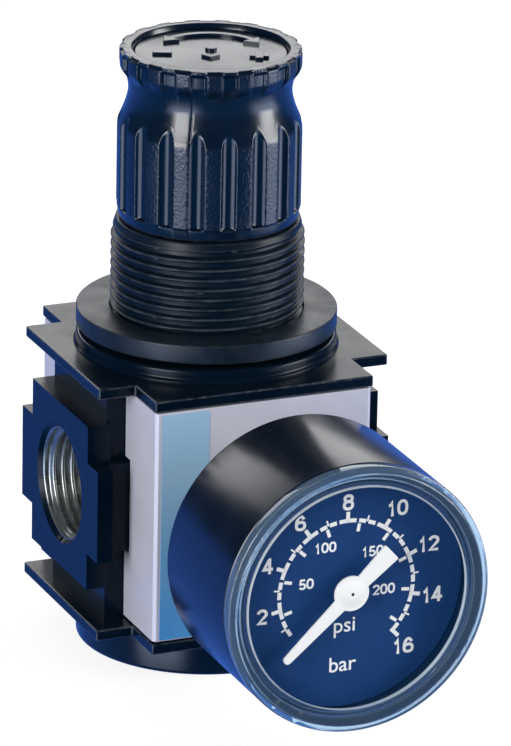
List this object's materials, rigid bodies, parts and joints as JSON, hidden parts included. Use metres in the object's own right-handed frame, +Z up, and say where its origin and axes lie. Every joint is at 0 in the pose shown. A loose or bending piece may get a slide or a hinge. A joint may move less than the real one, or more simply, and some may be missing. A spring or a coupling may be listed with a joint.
{
  "type": "air pressure regulator",
  "caption": "Compressed-air pressure regulator: square body with threaded side ports, panel thread and nut, ribbed push-pull adjusting knob and round dial gauge on the front.",
  "frame": {"origin": "centre of the bottom cap's underside, on the axis of the valve and knob", "axes": "+Z up along the knob axis, +X along the port axis towards the outlet, -Y towards the gauge's front"},
  "size_m": [0.058, 0.1022, 0.1149],
  "materials": {
    "body_paint": "black paint, satin",
    "cover_silver": "silver anodised, fine matt",
    "black_plastic": "black, matt",
    "knob_plastic": "black, glossy",
    "seal_rubber": "black, matt",
    "brass": "turned",
    "steel": "bright",
    "dial_face": "printed dark",
    "pointer_white": "white paint",
    "lens_clear": "clear moulded"
  },
  "bodies": {
    "housing": {"body": "body_paint", "bottom_cap": "body_paint", "front_cover": "cover_silver", "rear_cover": "cover_silver", "cap_o_ring": "seal_rubber", "stem_o_ring": "seal_rubber", "valve_spring": "steel", "diaphragm": "seal_rubber", "main_spring": "steel", "thrust_washer": "steel", "bonnet": "black_plastic", "rear_plug": "brass", "rear_plug_seal": "seal_rubber", "gauge_stem": "brass", "gauge_seal": "seal_rubber", "gauge_case": "black_plastic", "gauge_dial": "dial_face", "gauge_lens": "lens_clear", "bourdon_tube": "brass", "movement_frame": "brass"},
    "valve_train": {"valve_stem": "brass", "valve_seal": "seal_rubber", "diaphragm_hub": "brass", "spring_plate": "steel"},
    "spindle": {"adjusting_spindle": "brass", "knob_clip": "steel"},
    "knob": {"knob": "knob_plastic", "knob_cap": "knob_plastic"},
    "spring_nut": {"spring_nut": "brass"},
    "panel_nut": {"panel_nut": "black_plastic"},
    "pointer": {"gauge_pointer": "pointer_white", "pointer_arbor": "brass"},
    "sector": {"sector_gear": "brass"},
    "link": {"movement_link": "brass"}
  },
  "joints": [
    {"name": "spindle_turn", "type": "hinge", "parent": "housing", "child": "spindle", "pos_m": [0, 0, 0.078], "axis": [0, 0, -1], "range_deg": [0, 1800]},
    {"name": "knob_pull", "type": "slide", "parent": "spindle", "child": "knob", "axis": [0, 0, 1], "range_m": [0, 0.003]},
    {"name": "spring_nut_slide", "type": "slide", "parent": "housing", "child": "spring_nut", "axis": [0, 0, -1], "range_m": [0, 0.0075], "deforming": ["main_spring"]},
    {"name": "valve_lift", "type": "slide", "parent": "housing", "child": "valve_train", "axis": [0, 0, -1], "range_m": [0, 0.0015], "stiffness_N_per_m": 2000, "springref_m": -0.002, "deforming": ["valve_spring", "diaphragm", "main_spring"]},
    {"name": "panel_nut_travel", "type": "slide", "parent": "housing", "child": "panel_nut", "axis": [0, 0, 1], "range_m": [-0.0009, 0.0155]},
    {"name": "pointer_turn", "type": "hinge", "parent": "housing", "child": "pointer", "pos_m": [0, -0.0686, 0.033], "axis": [0, 1, 0], "range_deg": [0, 270], "stiffness_Nm_per_rad": 0.0002, "springref_deg": -17.19, "deforming": ["bourdon_tube"]},
    {"name": "sector_swing", "type": "hinge", "parent": "housing", "child": "sector", "pos_m": [0.00804, -0.0567, 0.02496], "axis": [0, 1, 0], "range_deg": [-34, 0]},
    {"name": "link_swing", "type": "hinge", "parent": "sector", "child": "link", "pos_m": [0.00977, -0.058, 0.02027], "axis": [0, 1, 0], "range_deg": [0, 34]}
  ],
  "couplings": [
    {"joint": "spring_nut_slide", "follows": "spindle_turn", "m_per_rad": 0.0002387},
    {"joint": "sector_swing", "follows": "pointer_turn", "ratio": -0.125},
    {"joint": "link_swing", "follows": "pointer_turn", "ratio": 0.125}
  ]
}
